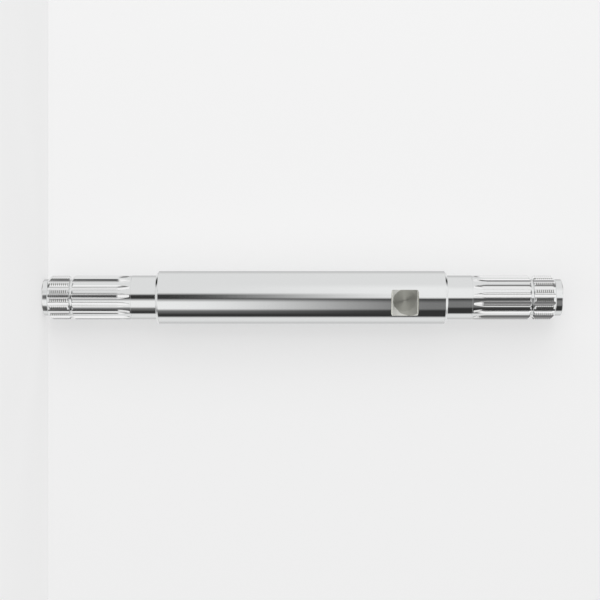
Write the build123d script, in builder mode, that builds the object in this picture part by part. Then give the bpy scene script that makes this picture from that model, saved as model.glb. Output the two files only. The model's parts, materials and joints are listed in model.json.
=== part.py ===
from build123d import *

import os
from math import acos, cos, degrees, pi, radians, sin, sqrt, tan

# A one-piece drive shaft, turned and milled from round bar. A thick plain body
# with two spanner flats carries a stepped journal, an involute spline, an
# undercut, a thread land and a plain pilot tip at each end. It stands on its
# lower tip, +Z along its axis; angles are turned from -Y towards +X.
# All sizes are in millimetres and degrees.

# Involute splines, 30 degree pressure angle
spline_module = 1.25
spline_teeth = 16
spline_profile_shift = 0.25  # in modules
spline_pressure_angle = 30.0
spline_length = 28.9  # crest, from the journal to the undercut
cutter_radius = 20.0  # disc cutter that leaves the run-out
runout_gap = 0.5  # plain crest between a run-out and the journal
overcut = 1.0  # how far a cutter reaches past the bar
lower_spline_angle = 5.5  # middle of one gap
upper_spline_angle = 4.0

# Plain body and journals
shoulder_height = 2.25  # body over journal, on the radius
body_length = 144.3
body_chamfer = 1.1
journal_length = 11.9
journal_fillet = 1.0
journal_taper = 0.5  # length of the small cone down to the spline crest

# Undercut between spline and thread
undercut_floor_width = 1.4
undercut_side = 0.75  # 45 degree sides, on the radius
undercut_depth = 0.625  # floor below the spline root, on the radius

# Thread land and pilot tip
thread_allowance = 0.1  # crest below the journal, on the radius
thread_length = 8.5
pilot_step = 0.475  # tip below the spline root, on the radius
lower_tip_length = 2.7
upper_tip_length = 3.5
tip_chamfer = 0.5

# Spanner flats, on opposite sides of the body
flat_depth = 1.75
flat_length = 13.5
flat_from_shoulder = 14.5
flat_corner = 0.8  # radius left by the end mill at each end of a flat

# Lathe centre holes in both end faces
centre_drill_diameter = 2.5
centre_drill_depth = 5.0
centre_cone_diameter = 5.3
centre_cone_angle = 60.0
drill_point_angle = 118.0

# Spline sizes that follow from the module, the teeth and the profile shift
reference_radius = spline_module * (spline_teeth + 2 * spline_profile_shift + 1.1) / 2
pitch_radius = spline_module * spline_teeth / 2
base_radius = pitch_radius * cos(radians(spline_pressure_angle))
crest_radius = reference_radius - 0.1 * spline_module
root_radius = reference_radius - 1.1 * spline_module
tooth_thickness = spline_module * (pi / 2 + 2 * spline_profile_shift * tan(radians(spline_pressure_angle)))

# Radii of the turned steps
journal_radius = reference_radius
body_radius = journal_radius + shoulder_height
thread_radius = journal_radius - thread_allowance
undercut_radius = root_radius - undercut_depth
pilot_radius = root_radius - pilot_step
thread_chamfer = thread_radius - pilot_radius

# Heights along the axis
undercut_width = undercut_floor_width + 2 * undercut_side
end_length = journal_length + spline_length + undercut_width + thread_length + thread_chamfer
lower_shoulder = lower_tip_length + end_length
upper_shoulder = lower_shoulder + body_length
shaft_length = upper_shoulder + end_length + upper_tip_length
flat_height = upper_shoulder - flat_from_shoulder - flat_length / 2


def end_outline(shoulder, outward, tip_length):
    """(radius, height) corners of one end, from the shoulder to the middle of its flat face."""
    steps = [
        (body_radius, 0),
        (journal_radius, 0),
        (journal_radius, journal_length),
        (crest_radius, journal_taper),
        (crest_radius, spline_length - journal_taper),
        (crest_radius - undercut_side, undercut_side),
        (undercut_radius, 0),
        (undercut_radius, undercut_floor_width),
        (thread_radius - undercut_side, 0),
        (thread_radius, undercut_side),
        (thread_radius, thread_length),
        (pilot_radius, thread_chamfer),
        (pilot_radius, tip_length - tip_chamfer),
        (pilot_radius - tip_chamfer, tip_chamfer),
        (0, 0),
    ]
    corners = []
    height = shoulder
    for radius, advance in steps:
        height += outward * advance
        corners.append((radius, height))
    return corners


def involute(angle):
    return tan(angle) - angle


def gap_point(radius, side):
    """Point on the flank of the gap that is centred on +X, at this radius."""
    pressure = radians(spline_pressure_angle)
    tooth = tooth_thickness / (2 * pitch_radius) + involute(pressure)
    here = involute(acos(min(1, base_radius / radius)))
    half_gap = pi / spline_teeth - tooth + here
    return (radius * cos(half_gap), side * radius * sin(half_gap))


def gap_flank(side):
    """Lowest, middle and highest point of one flank. The involute starts at the base circle."""
    start = max(root_radius, base_radius)
    return [gap_point(r, side) for r in (start, (start + journal_radius) / 2, journal_radius)]


def rings(part, radius, height):
    """Circular edges of that radius at that height."""
    near = 0.001
    return [
        edge
        for edge in part.edges().filter_by(GeomType.CIRCLE)
        if abs(edge.radius - radius) < near and abs(edge.center().Z - height) < near
    ]


# Turned blank
with BuildPart() as blank:
    with BuildSketch(Plane.XZ):
        with BuildLine():
            Polyline(
                *end_outline(lower_shoulder, -1, lower_tip_length),
                *reversed(end_outline(upper_shoulder, 1, upper_tip_length)),
                close=True,
            )
        make_face()
    revolve(axis=Axis.Z)
    for shoulder, outward in ((lower_shoulder, -1), (upper_shoulder, 1)):
        chamfer(rings(blank, body_radius, shoulder), body_chamfer)
        fillet(rings(blank, journal_radius, shoulder), journal_fillet)

# One spline gap, as the disc cutter leaves it: straight out past the end, and
# curved up out of the bar towards the journal. Centred on +X, run-out upwards.
runout_length = sqrt(cutter_radius**2 - (cutter_radius - crest_radius + root_radius) ** 2)
full_depth_to_shoulder = journal_length + journal_taper + runout_gap + runout_length
gap_length = end_length - full_depth_to_shoulder
outside = journal_radius + overcut
lift_angle = degrees(acos(1 - (outside - root_radius) / cutter_radius))
with BuildPart() as gap:
    with BuildSketch() as gap_section:
        with BuildLine():
            left = ThreePointArc(*gap_flank(1))
            right = ThreePointArc(*gap_flank(-1))
            ThreePointArc(left @ 0, (root_radius, 0), right @ 0)
            Polyline(left @ 1, (outside, (left @ 1).Y), (outside, (right @ 1).Y), right @ 1)
        make_face()
    extrude(amount=-gap_length)
    revolve(
        gap_section.sketch,
        axis=Axis((root_radius + cutter_radius, 0, 0), (0, 1, 0)),
        revolution_arc=lift_angle,
    )

# Centre hole, opening upwards at the origin
centre_cone_radius = centre_cone_diameter / 2
centre_drill_radius = centre_drill_diameter / 2
cone_depth = (centre_cone_radius - centre_drill_radius) / tan(radians(centre_cone_angle / 2))
point_depth = centre_drill_radius / tan(radians(drill_point_angle / 2))
with BuildPart() as centre_hole:
    with BuildSketch(Plane.XZ):
        with BuildLine():
            Polyline(
                (0, 0),
                (centre_cone_radius, 0),
                (centre_drill_radius, -cone_depth),
                (centre_drill_radius, -centre_drill_depth),
                (0, -centre_drill_depth - point_depth),
                close=True,
            )
        make_face()
    revolve(axis=Axis.Z)

# The finished shaft
with BuildPart() as splined_shaft:
    add(blank.part)
    with Locations((0, 0, lower_shoulder - full_depth_to_shoulder)):
        with PolarLocations(0, spline_teeth, start_angle=lower_spline_angle - 90):
            add(gap.part, mode=Mode.SUBTRACT)
    with Locations(Location((0, 0, upper_shoulder + full_depth_to_shoulder), (180, 0, 0))):
        with PolarLocations(0, spline_teeth, start_angle=90 - upper_spline_angle):
            add(gap.part, mode=Mode.SUBTRACT)
    with Locations((0, 0, shaft_length), Location((0, 0, 0), (180, 0, 0))):
        add(centre_hole.part, mode=Mode.SUBTRACT)
    with BuildSketch(Plane.YZ) as flats:
        cut_depth = flat_depth + overcut
        middle = body_radius + overcut - cut_depth / 2
        with Locations((-middle, flat_height), (middle, flat_height)):
            Rectangle(cut_depth, flat_length)
        fillet(flats.vertices().filter_by(lambda corner: abs(corner.X) < body_radius), flat_corner)
    extrude(amount=body_radius, both=True, mode=Mode.SUBTRACT)

splined_shaft.part.label = "splined_shaft"
os.makedirs("parts", exist_ok=True)
export_step(splined_shaft.part, "parts/splined_shaft.step")
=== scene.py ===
import json
from math import acos, atan2, cos, pi, radians, sin, sqrt, tan

import bmesh
import bpy
from mathutils import Matrix, Vector

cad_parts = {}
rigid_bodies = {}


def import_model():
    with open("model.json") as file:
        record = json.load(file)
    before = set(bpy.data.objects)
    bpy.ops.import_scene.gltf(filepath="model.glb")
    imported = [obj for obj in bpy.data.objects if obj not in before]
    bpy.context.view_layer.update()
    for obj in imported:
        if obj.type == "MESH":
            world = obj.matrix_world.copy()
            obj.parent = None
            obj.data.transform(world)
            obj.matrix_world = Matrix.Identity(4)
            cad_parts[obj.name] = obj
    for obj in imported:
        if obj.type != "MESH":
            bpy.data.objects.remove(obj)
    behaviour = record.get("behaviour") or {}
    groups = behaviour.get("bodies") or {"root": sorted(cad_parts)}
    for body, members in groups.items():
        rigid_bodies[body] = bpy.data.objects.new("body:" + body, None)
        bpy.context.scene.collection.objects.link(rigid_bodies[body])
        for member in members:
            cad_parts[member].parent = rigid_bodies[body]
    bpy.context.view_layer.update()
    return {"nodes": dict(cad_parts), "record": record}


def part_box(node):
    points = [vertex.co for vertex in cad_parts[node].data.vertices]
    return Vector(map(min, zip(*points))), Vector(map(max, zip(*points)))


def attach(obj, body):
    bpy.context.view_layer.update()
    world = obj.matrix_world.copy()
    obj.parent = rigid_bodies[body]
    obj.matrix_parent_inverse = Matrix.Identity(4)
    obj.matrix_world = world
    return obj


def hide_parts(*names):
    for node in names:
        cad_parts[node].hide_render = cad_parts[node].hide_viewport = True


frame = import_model()
print("frame loaded:", sorted(frame["nodes"]))

# A drive shaft with the same splined and threaded end twice. It stands on its lower tip, Z along its axis,
# and its spanner flats face -Y and +Y.
mm = 0.001
low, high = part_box("splined_shaft")
mounts = {mount["name"]: mount for mount in frame["record"]["mounts"]}
near = 0.01 * mm        # closer than this counts as the same place

for thing in list(bpy.data.objects):
    if thing.name in {"Cube", "Camera", "Light"}:
        bpy.data.objects.remove(thing)


def linear(hexColour):
    # sRGB hex to the linear colour that the nodes take
    parts = [int(hexColour[i:i + 2], 16) / 255 for i in (1, 3, 5)]
    return [p / 12.92 if p <= 0.04045 else ((p + 0.055) / 1.055) ** 2.4 for p in parts] + [1]


def addNode(tree, kind, settings=None, links=None):
    # one node with its settings; links holds a value or another node's output for each input
    node = tree.nodes.new(kind)
    for name, value in (settings or {}).items():
        setattr(node, name, value)
    for name, value in (links or {}).items():
        if isinstance(value, bpy.types.NodeSocket):
            tree.links.new(value, node.inputs[name])
        else:
            node.inputs[name].default_value = value
    return node


def startMaterial(name):
    material = bpy.data.materials.new(name)
    material.use_nodes = True
    material.node_tree.nodes.clear()
    return material, material.node_tree


def waveScale(period):
    # a wave texture repeats 20 times in 2 pi of its scaled coordinate; period in millimetres
    return 2 * pi / (20 * period * mm)


def drawOutline(name, points, closed=False):
    # one vertex, extruded from point to point
    bpy.ops.object.select_all(action="DESELECT")
    bpy.ops.mesh.primitive_plane_add(size=mm)
    piece = bpy.context.object
    piece.name = name
    bpy.ops.object.mode_set(mode="EDIT")
    bpy.ops.mesh.select_mode(type="VERT")
    bpy.ops.mesh.merge(type="CENTER")
    last = Vector(points[0])
    bpy.ops.transform.translate(value=last)
    for point in points[1:]:
        bpy.ops.mesh.extrude_region_move(TRANSFORM_OT_translate={"value": Vector(point) - last})
        last = Vector(point)
    if closed:
        bpy.ops.mesh.extrude_region_move(TRANSFORM_OT_translate={"value": Vector(points[0]) - last})
        bpy.ops.mesh.select_all(action="SELECT")
        bpy.ops.mesh.remove_doubles(threshold=near)
    return piece


def pickVertices(piece, wanted):
    # selects the vertices at the wanted places
    bpy.ops.mesh.select_mode(type="VERT")
    mesh = bmesh.from_edit_mesh(piece.data)
    for vertex in mesh.verts:
        vertex.select_set(bool(wanted(vertex.co)))
    mesh.select_flush_mode()
    bmesh.update_edit_mesh(piece.data)


def closeAndTurnOut(piece):
    # merged doubles, then every face outwards
    bpy.ops.mesh.select_all(action="SELECT")
    bpy.ops.mesh.remove_doubles(threshold=near / 4)
    bpy.ops.mesh.normals_make_consistent(inside=False)
    bpy.ops.object.mode_set(mode="OBJECT")


def applyModifier(piece, kind, settings):
    bpy.ops.object.select_all(action="DESELECT")
    piece.select_set(True)
    bpy.context.view_layer.objects.active = piece
    modifier = piece.modifiers.new(kind, kind)
    for name, value in settings.items():
        setattr(modifier, name, value)
    bpy.ops.object.modifier_apply(modifier=modifier.name)


def cutAway(piece, cutter):
    # takes the cutter out of the piece; the new walls carry the cutter's material
    applyModifier(piece, "BOOLEAN", {
        "operation": "DIFFERENCE", "solver": "MANIFOLD", "object": cutter, "material_mode": "TRANSFER",
    })
    bpy.data.objects.remove(cutter)


def joinCopies(piece, places):
    # one mesh of the piece at each place: (turn round Z, metres up)
    copies = []
    for turn, lift in places:
        bpy.ops.object.select_all(action="DESELECT")
        piece.select_set(True)
        bpy.context.view_layer.objects.active = piece
        bpy.ops.object.duplicate()
        copy = bpy.context.object
        place = Matrix.Translation((0, 0, lift)) @ Matrix.Rotation(turn, 4, "Z")
        copy.matrix_world = place @ piece.matrix_world
        copies.append(copy)
    bpy.data.objects.remove(piece)
    bpy.ops.object.select_all(action="DESELECT")
    for copy in copies:
        copy.select_set(True)
    bpy.context.view_layer.objects.active = copies[0]
    bpy.ops.object.join()
    bpy.ops.object.transform_apply(location=True, rotation=True, scale=True)
    return copies[0]


steel = {
    "turned": "#E7E8E8",        # bright, just off neutral
    "hobbed": "#F0F0F0",        # the same steel where the hob has cut
    "threaded": "#C0C0BE",      # duller between the ridges of the thread
    "milled": "#ADADA5",        # satin, slightly yellow
    "milledCornerAndWallHighlight": "#F4F4EE",  # brighter where the last pass of the end mill has not reached; also a painted highlight on the upper end wall
    "passes": [(-1.2, -0.2, 5.6), (-0.9, 2.4, 7.4)],    # across, up from the flat's middle, radius, mm
    "wallHighlightFrom": 6.1,            # where the painted highlight on the flat's upper end wall starts, mm above its middle
}


def turnedSteel():
    # Bright steel, fine turned and polished in the lathe. The marks run round the bar, so a reflection
    # stays crisp across the axis and is drawn out a little along it.
    material, tree = startMaterial("fineTurnedSteel")
    place = addNode(tree, "ShaderNodeTexCoord").outputs["Object"]
    # lathe feed, really 0.08 mm a turn; drawn at 0.5 mm so that it shows at all
    rings = addNode(tree, "ShaderNodeMapping", links={"Vector": place, "Scale": (40, 40, 2000)})
    marks = addNode(tree, "ShaderNodeTexNoise", links={
        "Vector": rings.outputs["Vector"], "Scale": 1, "Detail": 3,
    })
    bump = addNode(tree, "ShaderNodeBump", links={
        "Height": marks.outputs["Fac"], "Strength": 0.25, "Distance": 0.000004,
    })
    # broad smears of polish a few millimetres long
    smear = addNode(tree, "ShaderNodeMapping", links={"Vector": place, "Scale": (150, 150, 60)})
    cloud = addNode(tree, "ShaderNodeTexNoise", links={
        "Vector": smear.outputs["Vector"], "Scale": 1, "Detail": 4,
    })
    gloss = addNode(tree, "ShaderNodeMapRange", links={
        "Value": cloud.outputs["Fac"], "From Min": 0.3, "From Max": 0.7, "To Min": 0.05, "To Max": 0.08,
    })
    lay = addNode(tree, "ShaderNodeTangent", {"direction_type": "RADIAL", "axis": "Z"})
    shader = addNode(tree, "ShaderNodeBsdfPrincipled", links={
        "Base Color": linear(steel["turned"]), "Metallic": 1, "Roughness": gloss.outputs["Result"],
        "Anisotropic": 0.3, "Anisotropic Rotation": 0.25,
        "Normal": bump.outputs["Normal"], "Tangent": lay.outputs["Tangent"],
    })
    addNode(tree, "ShaderNodeOutputMaterial", links={"Surface": shader.outputs["BSDF"]})
    return material


def hobbedSteel():
    # Steel as the hob leaves it in the spline gaps: a bright wall with a faint scallop for each millimetre
    # of feed along the axis.
    material, tree = startMaterial("hobbedSteel")
    place = addNode(tree, "ShaderNodeTexCoord").outputs["Object"]
    scallops = addNode(tree, "ShaderNodeTexWave", {"bands_direction": "Z"}, links={
        "Vector": place, "Scale": waveScale(1.0), "Distortion": 0.2, "Detail": 1,
    })
    bump = addNode(tree, "ShaderNodeBump", links={
        "Height": scallops.outputs["Fac"], "Strength": 1, "Distance": 0.000002,
    })
    cloud = addNode(tree, "ShaderNodeTexNoise", links={"Vector": place, "Scale": 300, "Detail": 4})
    gloss = addNode(tree, "ShaderNodeMapRange", links={
        "Value": cloud.outputs["Fac"], "From Min": 0.3, "From Max": 0.7, "To Min": 0.045, "To Max": 0.075,
    })
    shader = addNode(tree, "ShaderNodeBsdfPrincipled", links={
        "Base Color": linear(steel["hobbed"]), "Metallic": 1, "Roughness": gloss.outputs["Result"],
        "Normal": bump.outputs["Normal"],
    })
    addNode(tree, "ShaderNodeOutputMaterial", links={"Surface": shader.outputs["BSDF"]})
    return material


def threadedSteel():
    # Steel between the ridges of a single-point cut thread: torn a little by the tool and duller than the
    # crests.
    material, tree = startMaterial("threadedSteel")
    place = addNode(tree, "ShaderNodeTexCoord").outputs["Object"]
    # tears along the cut, really under 0.05 mm; drawn at 0.2 mm
    cloud = addNode(tree, "ShaderNodeTexNoise", links={"Vector": place, "Scale": 5000, "Detail": 2})
    bump = addNode(tree, "ShaderNodeBump", links={
        "Height": cloud.outputs["Fac"], "Strength": 0.3, "Distance": 0.00001,
    })
    gloss = addNode(tree, "ShaderNodeMapRange", links={
        "Value": cloud.outputs["Fac"], "From Min": 0.3, "From Max": 0.7, "To Min": 0.16, "To Max": 0.24,
    })
    shader = addNode(tree, "ShaderNodeBsdfPrincipled", links={
        "Base Color": linear(steel["threaded"]), "Metallic": 1, "Roughness": gloss.outputs["Result"],
        "Normal": bump.outputs["Normal"],
    })
    addNode(tree, "ShaderNodeOutputMaterial", links={"Surface": shader.outputs["BSDF"]})
    return material


def milledSteel():
    # Steel as an end mill leaves it on the spanner flats: satin, swept round in fine rings, so that its
    # light is drawn out towards and away from the middle of the last pass. Beyond its passes the flat stays
    # brighter. The wall at its upper end gets the same bright colour as a painted highlight.
    material, tree = startMaterial("endMilledSteel")
    place = addNode(tree, "ShaderNodeTexCoord").outputs["Object"]
    flatMiddle = Vector(mounts["spanner_flats"]["pos_m"])
    # the passes end unevenly, within half a millimetre
    ragged = addNode(tree, "ShaderNodeTexNoise", links={"Vector": place, "Scale": 500, "Detail": 2})
    beyond = []
    for passAcross, passUp, passRadius in steel["passes"][::-1]:
        centred = addNode(tree, "ShaderNodeMapping", links={
            "Vector": place, "Location": (-passAcross * mm, 0, -flatMiddle.z - passUp * mm),
            "Scale": (1, 0, 1),
        })
        reach = addNode(tree, "ShaderNodeVectorMath", {"operation": "LENGTH"}, links={
            0: centred.outputs["Vector"],
        })
        spread = addNode(tree, "ShaderNodeMath", {"operation": "MULTIPLY_ADD"}, links={
            0: ragged.outputs["Fac"], 1: 1.2 * mm, 2: reach.outputs["Value"],
        })
        outside = addNode(tree, "ShaderNodeMapRange", {"interpolation_type": "SMOOTHSTEP"}, links={
            "Value": spread.outputs["Value"], "From Min": (passRadius + 0.3) * mm,
            "From Max": (passRadius + 0.9) * mm,
        })
        beyond.append(outside.outputs["Result"])
    # beyond both passes the corner is fully bright, beyond the first alone a little
    both = addNode(tree, "ShaderNodeMath", {"operation": "MULTIPLY_ADD"}, links={
        0: beyond[0], 1: 0.85, 2: 0.15,
    })
    corner = addNode(tree, "ShaderNodeMath", {"operation": "MULTIPLY"}, links={
        0: both.outputs["Value"], 1: beyond[1],
    })
    # painted highlight: from here up, the flat's end wall takes the bright corner colour, as if light fell
    # on it
    up = addNode(tree, "ShaderNodeSeparateXYZ", links={"Vector": place}).outputs["Z"]
    wall = addNode(tree, "ShaderNodeMapRange", links={
        "Value": up, "From Min": flatMiddle.z + steel["wallHighlightFrom"] * mm,
        "From Max": flatMiddle.z + (steel["wallHighlightFrom"] + 0.2) * mm,
    })
    bright = addNode(tree, "ShaderNodeMath", {"operation": "MAXIMUM"}, links={
        0: corner.outputs["Value"], 1: wall.outputs["Result"],
    })
    # cutter rings, really 0.1 mm apart; drawn at 0.5 mm so that they show
    rings = addNode(tree, "ShaderNodeTexWave", {"wave_type": "RINGS", "rings_direction": "SPHERICAL"}, {
        "Vector": centred.outputs["Vector"], "Scale": waveScale(0.5), "Distortion": 1.5,
        "Detail": 2,
    })
    bump = addNode(tree, "ShaderNodeBump", links={
        "Height": rings.outputs["Fac"], "Strength": 0.4, "Distance": 0.00001,
    })
    sweep = addNode(tree, "ShaderNodeVectorMath", {"operation": "CROSS_PRODUCT"}, links={
        0: centred.outputs["Vector"], 1: (0, 1, 0),
    })
    colour = addNode(tree, "ShaderNodeMix", {"data_type": "RGBA"}, links={
        0: bright.outputs["Value"], 6: linear(steel["milled"]), 7: linear(steel["milledCornerAndWallHighlight"]),
    })
    gloss = addNode(tree, "ShaderNodeMapRange", links={
        "Value": rings.outputs["Fac"], "To Min": 0.38, "To Max": 0.44,
    })
    shader = addNode(tree, "ShaderNodeBsdfPrincipled", links={
        "Base Color": colour.outputs[2], "Metallic": 1, "Roughness": gloss.outputs["Result"],
        "Anisotropic": 0.95, "Normal": bump.outputs["Normal"], "Tangent": sweep.outputs["Vector"],
    })
    addNode(tree, "ShaderNodeOutputMaterial", links={"Surface": shader.outputs["BSDF"]})
    return material


turned, hobbed, threaded, milled = turnedSteel(), hobbedSteel(), threadedSteel(), milledSteel()
print("finishes made")


shaft = {                       # millimetres and degrees
    "steps": 192,               # faces round the bar, 12 to a tooth
    "bodyRadius": 13.25, "bodyChamfer": 1.1,
    "journalRadius": 11.0, "journalLength": 12.3, "journalFillet": 0.15, "taperLength": 0.1,
    "crestRadius": 10.875, "splineLength": 28.4,
    "undercutRadius": 9.0, "undercutFloor": 1.4, "undercutSide": 0.75, "undercutFillet": 0.3,
    "threadRadius": 10.9, "threadLength": 8.5, "threadChamfer": 1.75,
    "pilotRadius": 9.15, "tipChamfer": 0.5, "lowerTip": 2.7, "upperTip": 3.5,
    "edgeBreak": 0.1,           # deburred corners
    "smoothAngle": 12.5,        # a sharper edge than this stays sharp
    "coneRadius": 2.65, "drillRadius": 1.25, "drillDepth": 5.0, "coneAngle": 60, "pointAngle": 118,
}
endLength = (shaft["journalLength"] + shaft["taperLength"] + shaft["splineLength"] + shaft["undercutFloor"]
             + 2 * shaft["undercutSide"] + shaft["threadLength"] + shaft["threadChamfer"])
lowerEnd, upperEnd = low.z / mm, high.z / mm
lowerShoulder = lowerEnd + shaft["lowerTip"] + endLength
upperShoulder = upperEnd - shaft["upperTip"] - endLength


def endCorners(shoulder, outward, tipLength):
    # (radius, height, how far its corner is rounded off), from the body to the drill point in the end face
    s = shaft
    coneDepth = (s["coneRadius"] - s["drillRadius"]) / tan(radians(s["coneAngle"] / 2))
    pointDepth = s["drillRadius"] / tan(radians(s["pointAngle"] / 2))
    steps = [
        (s["bodyRadius"], -s["bodyChamfer"], s["edgeBreak"]),
        (s["bodyRadius"] - s["bodyChamfer"], s["bodyChamfer"], s["edgeBreak"]),
        (s["journalRadius"], 0, s["journalFillet"]),
        (s["journalRadius"], s["journalLength"], 0),
        (s["crestRadius"], s["taperLength"], 0),
        (s["crestRadius"], s["splineLength"], s["edgeBreak"]),
        (s["crestRadius"] - s["undercutSide"], s["undercutSide"], s["edgeBreak"]),
        (s["undercutRadius"], 0, s["undercutFillet"]),
        (s["undercutRadius"], s["undercutFloor"], s["undercutFillet"]),
        (s["threadRadius"] - s["undercutSide"], 0, s["edgeBreak"]),
        (s["threadRadius"], s["undercutSide"], 0),
        (s["threadRadius"], s["threadLength"], 0),
        (s["pilotRadius"], s["threadChamfer"], 0),
        (s["pilotRadius"], tipLength - s["tipChamfer"], s["edgeBreak"]),
        (s["pilotRadius"] - s["tipChamfer"], s["tipChamfer"], s["edgeBreak"]),
        (s["coneRadius"], 0, s["edgeBreak"]),
        (s["drillRadius"], -coneDepth, 0),
        (s["drillRadius"], coneDepth - s["drillDepth"], 0),
        (0, -pointDepth, 0),
    ]
    corners = []
    height = shoulder
    for radius, advance, rounding in steps:
        height += outward * advance
        corners.append((radius, height, rounding))
    return corners


def turnBlank():
    # half the outline, its corners rounded, then spun round the axis
    corners = endCorners(lowerShoulder, -1, shaft["lowerTip"])[::-1]
    corners += endCorners(upperShoulder, 1, shaft["upperTip"])
    blank = drawOutline("shaft", [(radius * mm, 0, height * mm) for radius, height, rounding in corners])
    for radius, height, rounding in corners:
        if rounding:
            corner = Vector((radius * mm, 0, height * mm))
            pickVertices(blank, lambda place: (place - corner).length < near)
            bpy.ops.mesh.bevel(offset=rounding * mm, segments=6 if rounding > 0.3 else 3, affect="VERTICES")
    bpy.ops.mesh.select_all(action="SELECT")
    bpy.ops.mesh.spin(steps=shaft["steps"], angle=2 * pi, center=(0, 0, 0), axis=(0, 0, 1))
    closeAndTurnOut(blank)
    blank.data.materials.append(turned)
    return blank


blank = turnBlank()
print("blank turned:", len(blank.data.polygons), "faces")


thread = {                      # M22x1 with crests turned down to 21.8, broad, and shallow grooves; mm
    "pitch": 1.0, "depth": 0.35, "crestFlat": 0.5, "over": 0.08, "turns": 11, "steps": 96,
    "flankAngle": 30,           # degrees from square to the axis
    "lowerLead": 0.85, "upperLead": 0.5,        # from the tip's foot to where the helix starts
}


def threadCutter(name, start):
    # the V between two ridges, swept up a right-hand helix from the start height
    t = thread
    slope = tan(radians(t["flankAngle"]))
    top = (t["pitch"] - t["crestFlat"]) / 2 + t["over"] * slope
    foot = top - (t["depth"] + t["over"]) * slope
    inner, outer = shaft["threadRadius"] - t["depth"], shaft["threadRadius"] + t["over"]
    section = [(inner, -foot), (outer, -top), (outer, top), (inner, foot)]
    points = [(radius * mm, 0, (start + rise) * mm) for radius, rise in section]
    cutter = drawOutline(name, points, closed=True)
    bpy.ops.object.mode_set(mode="OBJECT")
    applyModifier(cutter, "SCREW", {
        "axis": "Z", "angle": 2 * pi, "screw_offset": t["pitch"] * mm, "iterations": t["turns"],
        "steps": t["steps"], "render_steps": t["steps"], "use_merge_vertices": False,
    })
    bpy.ops.object.mode_set(mode="EDIT")
    bpy.ops.mesh.select_all(action="DESELECT")
    bpy.ops.mesh.select_mode(type="EDGE")
    bpy.ops.mesh.select_non_manifold()
    bpy.ops.mesh.fill()
    closeAndTurnOut(cutter)
    cutter.data.materials.append(threaded)
    return cutter


lowerStart = lowerEnd + shaft["lowerTip"] + thread["lowerLead"]
upperStart = upperEnd - shaft["upperTip"] - thread["upperLead"] - thread["turns"] * thread["pitch"]
for name, start in (("lowerThreadCutter", lowerStart), ("upperThreadCutter", upperStart)):
    cutAway(blank, threadCutter(name, start))
print("threads cut:", len(blank.data.polygons), "faces")


spline = {                      # DIN 5480 W22x1.25x16, millimetres and degrees
    "module": 1.25, "teeth": 16, "shift": 0.25, "pressureAngle": 30, "rootRadius": 9.625,
    "rootFillet": 0.15, "cutterRadius": 20, "runoutGap": 0.5, "over": 1.0,
    "arcSteps": 20, "flankPoints": 5,
    "lowerAngle": 5.5, "upperAngle": 4.0,       # middle of one gap, from -Y towards +X
}


def involute(angle):
    return tan(angle) - angle


def gapFlank(side):
    # points of one flank of the gap that is centred on +X, from the root out to the journal radius
    pitchRadius = spline["module"] * spline["teeth"] / 2
    pressure = radians(spline["pressureAngle"])
    baseRadius = pitchRadius * cos(pressure)
    toothThickness = spline["module"] * (pi / 2 + 2 * spline["shift"] * tan(pressure))
    start, end, count = max(baseRadius, spline["rootRadius"]), shaft["journalRadius"], spline["flankPoints"]
    points = []
    for i in range(count):
        radius = start + (end - start) * i / (count - 1)
        here = involute(acos(min(1, baseRadius / radius)))
        half = pi / spline["teeth"] - toothThickness / (2 * pitchRadius) - involute(pressure) + here
        points.append((radius * cos(half), side * radius * sin(half)))
    return points


def gapCutter():
    # the gap's section carried straight down, and curved up out of the bar as a disc cutter leaves it
    left, right = gapFlank(1), gapFlank(-1)
    halfRoot = atan2(left[0][1], left[0][0])
    floor = [(spline["rootRadius"] * cos(halfRoot * turn), spline["rootRadius"] * sin(halfRoot * turn))
             for turn in (-0.5, 0, 0.5)]
    outside = shaft["journalRadius"] + spline["over"]
    lid = [(outside, left[-1][1]), (outside, right[-1][1])]
    section = right + lid[::-1] + left[::-1] + floor[::-1]
    cutter = drawOutline("gapCutter", [(x * mm, y * mm, 0) for x, y in section], closed=True)
    for x, y in (left[0], right[0]):
        pickVertices(cutter, lambda place: (place - Vector((x * mm, y * mm, 0))).length < near)
        bpy.ops.mesh.bevel(offset=spline["rootFillet"] * mm, segments=3, affect="VERTICES")
    depth = shaft["crestRadius"] - spline["rootRadius"]
    runout = sqrt(spline["cutterRadius"] ** 2 - (spline["cutterRadius"] - depth) ** 2)
    shoulderToFull = shaft["journalLength"] + shaft["taperLength"] + spline["runoutGap"] + runout
    lift = acos(1 - (outside - spline["rootRadius"]) / spline["cutterRadius"])
    bpy.ops.mesh.select_all(action="SELECT")
    straight = (0, 0, (shoulderToFull - endLength) * mm)
    bpy.ops.mesh.extrude_region_move(TRANSFORM_OT_translate={"value": straight})
    bpy.ops.mesh.edge_face_add()
    pickVertices(cutter, lambda place: abs(place.z) < near)
    centre = ((spline["rootRadius"] + spline["cutterRadius"]) * mm, 0, 0)
    bpy.ops.mesh.spin(steps=spline["arcSteps"], angle=-lift, center=centre, axis=(0, 1, 0))
    bpy.ops.mesh.edge_face_add()
    closeAndTurnOut(cutter)
    cutter.data.materials.append(hobbed)
    return cutter, shoulderToFull


def cutSpline(shoulder, outward, firstAngle):
    cutter, shoulderToFull = gapCutter()
    if outward > 0:             # the same cutter, turned over
        cutter.matrix_world = Matrix.Rotation(pi, 4, "X")
    bpy.ops.object.transform_apply(location=True, rotation=True, scale=True)
    lift = (shoulder + outward * shoulderToFull) * mm
    turns = [radians(firstAngle - 90 + 360 * i / spline["teeth"]) for i in range(spline["teeth"])]
    cutAway(blank, joinCopies(cutter, [(turn, lift) for turn in turns]))


cutSpline(lowerShoulder, -1, spline["lowerAngle"])
cutSpline(upperShoulder, 1, spline["upperAngle"])
print("splines cut:", len(blank.data.polygons), "faces")


flats = {"depth": 1.75, "length": 13.5, "corner": 0.8, "over": 1.0, "cornerSteps": 8}      # millimetres


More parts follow.
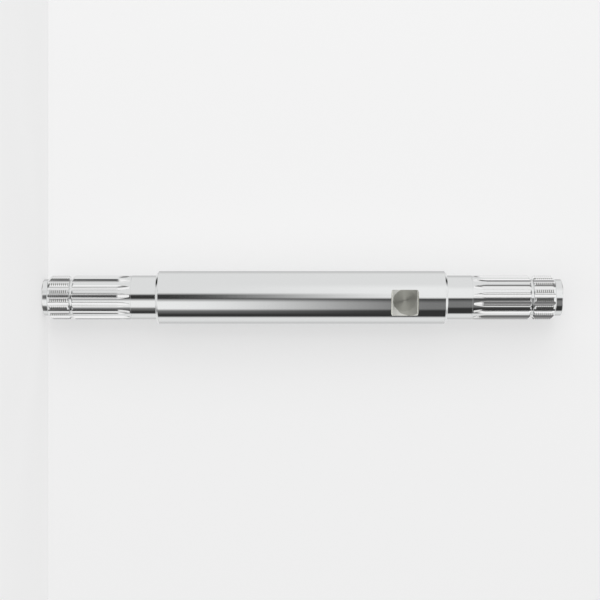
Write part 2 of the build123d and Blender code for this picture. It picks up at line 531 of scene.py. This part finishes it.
def flatCutter(side):
    middle = Vector(mounts["spanner_flats"]["pos_m"])
    inner = (shaft["bodyRadius"] - flats["depth"]) * mm
    thick = (flats["depth"] + flats["over"]) * mm
    bpy.ops.object.select_all(action="DESELECT")
    bpy.ops.mesh.primitive_cube_add(size=1, location=(0, side * (inner + thick / 2), middle.z),
                                    scale=(2 * shaft["bodyRadius"] * mm, thick, flats["length"] * mm))
    cutter = bpy.context.object
    bpy.ops.object.transform_apply(location=True, rotation=True, scale=True)
    bpy.ops.object.mode_set(mode="EDIT")
    pickVertices(cutter, lambda place: abs(abs(place.y) - inner) < near)
    bpy.ops.mesh.bevel(offset=flats["corner"] * mm, segments=flats["cornerSteps"], affect="EDGES")
    closeAndTurnOut(cutter)
    cutter.data.materials.append(milled)
    return cutter


for side in (-1, 1):
    cutAway(blank, flatCutter(side))
print("flats cut:", len(blank.data.polygons), "faces")


def finishShaft():
    bpy.ops.object.select_all(action="DESELECT")
    blank.select_set(True)
    bpy.context.view_layer.objects.active = blank
    bpy.ops.object.shade_smooth_by_angle(angle=radians(shaft["smoothAngle"]))
    applyModifier(blank, "WEIGHTED_NORMAL", {"keep_sharp": True, "weight": 100})
    blank.name = blank.data.name = "finishedShaft"


finishShaft()
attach(blank, "root")
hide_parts("splined_shaft")
print("shaft finished:", [slot.name for slot in blank.material_slots])


studio = {
    "cameraTurn": -13.5,        # degrees round the shaft from -Y, where the camera stands
    "cameraDistance": 0.78, "cameraHeight": 0.128, "cameraShift": 0.0013, "lens": 93.6,
    "wallGap": 0.25,            # millimetres between the body and the wall behind it
    "wallColour": "#F4F4F4", "floorColour": "#F4F4F4", "skyColour": "#F0F0F0",
    "ownLight": 0.5,            # share of the papers' colour that no shadow reaches
    "lampPower": 3.9, "lampSize": 0.9,
    "lampOut": 0.8, "lampAside": 0.7, "lampHeight": 0.2,     # towards the camera, over its top edge, up
    "wallSize": 1.6, "floorSize": 6,
}

# A plain studio, as the steel mirrors it: the pale backdrop all round, a window beside the camera and dark
# cards below it. Above and below the level of the shaft, more cards stand round it. Each zone is fully there
# at its second height, in degrees over the horizon, and starts to show at its first. Its bands are degrees
# from the camera's side towards the camera's lower edge.
tones = {
    "backdrop": studio["skyColour"], "window": "#FFFFFF", "shade": "#C8C8C8", "grey": "#808080",
    "dark": "#383838",
}
cardsAround = [
    (-180, "backdrop"), (-150, "backdrop"), (-140, "dark"), (-130, "dark"), (-120, "backdrop"),
    (-50, "window"), (-40, "grey"), (-30, "grey"), (-20, "window"), (45, "window"), (55, "dark"),
    (70, "dark"), (80, "backdrop"), (110, "backdrop"), (120, "grey"), (130, "grey"), (140, "backdrop"),
    (180, "backdrop"),
]
zones = [
    ("table", -90, -90, [(-180, "backdrop"), (180, "backdrop")]),
    ("below", -75, -55, cardsAround),
    ("lowerCards", -15, -8, [       # two cards with a gap between them
        (-180, "backdrop"), (-150, "shade"), (-120, "backdrop"), (-20, "backdrop"), (-10, "dark"),
        (5, "dark"), (20, "window"), (50, "window"), (60, "grey"), (80, "dark"), (90, "dark"),
        (100, "backdrop"), (120, "backdrop"), (150, "shade"), (180, "backdrop"),
    ]),
    ("upperCards", -5, 5, [         # the gap has closed to a grey stripe
        (-180, "backdrop"), (-150, "shade"), (-120, "backdrop"), (-60, "backdrop"), (-40, "window"),
        (0, "window"), (8, "dark"), (25, "grey"), (50, "grey"), (60, "dark"), (90, "dark"),
        (100, "backdrop"), (120, "backdrop"), (150, "shade"), (180, "backdrop"),
    ]),
    ("above", 15, 25, cardsAround),
    ("ceiling", 50, 70, [(-180, "window"), (180, "window")]),
]
turn = radians(studio["cameraTurn"])
toCamera = Vector((sin(turn), -cos(turn), 0))
across = Vector((cos(turn), sin(turn), 0))      # to the camera's lower edge, because it lies on its side
middle = Vector((0, 0, studio["cameraHeight"]))


def placeCamera():
    data = bpy.data.cameras.new("mainCamera")
    data.lens = studio["lens"]
    data.sensor_width = 36
    data.clip_start, data.clip_end = 0.01, 20
    camera = bpy.data.objects.new("mainCamera", data)
    bpy.context.collection.objects.link(camera)
    camera.location = middle + toCamera * studio["cameraDistance"] + across * studio["cameraShift"]
    camera.rotation_euler = Matrix((Vector((0, 0, 1)), -across, toCamera)).transposed().to_euler()
    bpy.context.scene.camera = camera


def stagePlane(name, place, facing, size, colour):
    # A pale matt sheet that only the camera sees. Part of its colour is its own light, so that the shadow
    # stays soft.
    bpy.ops.object.select_all(action="DESELECT")
    tilt = facing.to_track_quat("Z", "Y").to_euler()
    bpy.ops.mesh.primitive_plane_add(size=size, location=place, rotation=tilt)
    sheet = bpy.context.object
    sheet.name = name
    bpy.ops.object.transform_apply(location=True, rotation=True, scale=True)
    material, tree = startMaterial(name + "Paper")
    matt = addNode(tree, "ShaderNodeBsdfDiffuse", links={"Color": linear(colour)})
    glow = addNode(tree, "ShaderNodeEmission", links={"Color": linear(colour), "Strength": 1})
    paper = addNode(tree, "ShaderNodeMixShader", links={
        0: studio["ownLight"], 1: matt.outputs["BSDF"], 2: glow.outputs["Emission"],
    })
    clear = addNode(tree, "ShaderNodeBsdfTransparent")
    back = addNode(tree, "ShaderNodeNewGeometry").outputs["Backfacing"]
    both = addNode(tree, "ShaderNodeMixShader", links={
        0: back, 1: paper.outputs["Shader"], 2: clear.outputs["BSDF"],
    })
    addNode(tree, "ShaderNodeOutputMaterial", links={"Surface": both.outputs["Shader"]})
    sheet.data.materials.append(material)
    sheet.visible_glossy = sheet.visible_diffuse = sheet.visible_shadow = False
    return sheet


def paintBands(tree, heading, bands):
    # one zone's tones, from (degrees, tone) all round the shaft
    ramp = addNode(tree, "ShaderNodeValToRGB", links={"Fac": heading})
    stops = ramp.color_ramp.elements
    stops.remove(stops[1])
    for i, (angle, tone) in enumerate(bands):
        stop = stops.new((angle + 180) / 360) if i else stops[0]
        stop.position = (angle + 180) / 360
        stop.color = linear(tones[tone])
    return ramp.outputs["Color"]


def paintWorld():
    world = bpy.data.worlds.new("studioWorld")
    bpy.context.scene.world = world
    world.use_nodes = True
    tree = world.node_tree
    tree.nodes.clear()
    direction = addNode(tree, "ShaderNodeTexCoord").outputs["Generated"]
    turned = addNode(tree, "ShaderNodeMapping", {"vector_type": "POINT"}, {
        "Vector": direction, "Rotation": (0, 0, -atan2(toCamera.y, toCamera.x)),
    })
    heading = addNode(tree, "ShaderNodeTexGradient", {"gradient_type": "RADIAL"}, {
        "Vector": turned.outputs["Vector"],
    })
    rise = addNode(tree, "ShaderNodeSeparateXYZ", links={"Vector": direction}).outputs["Z"]
    shown = None
    for name, first, full, bands in zones:
        colour = paintBands(tree, heading.outputs["Fac"], bands)
        if shown:
            share = addNode(tree, "ShaderNodeMapRange", {"interpolation_type": "SMOOTHSTEP"}, {
                "Value": rise, "From Min": sin(radians(first)), "From Max": sin(radians(full)),
            })
            mixed = addNode(tree, "ShaderNodeMix", {"data_type": "RGBA"}, {
                0: share.outputs["Result"], 6: shown, 7: colour,
            })
            colour = mixed.outputs[2]
        shown = colour
    room = addNode(tree, "ShaderNodeBackground", links={"Color": shown, "Strength": 1})
    sky = addNode(tree, "ShaderNodeBackground", links={"Color": linear(studio["skyColour"]), "Strength": 1})
    seen = addNode(tree, "ShaderNodeLightPath").outputs["Is Camera Ray"]
    both = addNode(tree, "ShaderNodeMixShader", links={
        0: seen, 1: room.outputs["Background"], 2: sky.outputs["Background"],
    })
    addNode(tree, "ShaderNodeOutputWorld", links={"Surface": both.outputs["Shader"]})


def placeLamp():
    # one large soft box on the side that the camera has at its top
    data = bpy.data.lights.new("softBox", "AREA")
    data.shape = "SQUARE"
    data.size = studio["lampSize"]
    data.energy = studio["lampPower"]
    lamp = bpy.data.objects.new("softBox", data)
    bpy.context.collection.objects.link(lamp)
    lamp.location = (toCamera * studio["lampOut"] - across * studio["lampAside"]
                     + Vector((0, 0, studio["lampHeight"])))
    lamp.rotation_euler = (lamp.location - middle).to_track_quat("Z", "Y").to_euler()
    lamp.visible_glossy = False


placeCamera()
wallPlace = middle - toCamera * (shaft["bodyRadius"] + studio["wallGap"]) * mm
stagePlane("wall", wallPlace, toCamera, studio["wallSize"], studio["wallColour"])
stagePlane("floor", Vector((0, 0, 0)), Vector((0, 0, 1)), studio["floorSize"], studio["floorColour"])
paintWorld()
placeLamp()
bpy.context.scene.view_settings.view_transform = "Standard"
print("studio set")
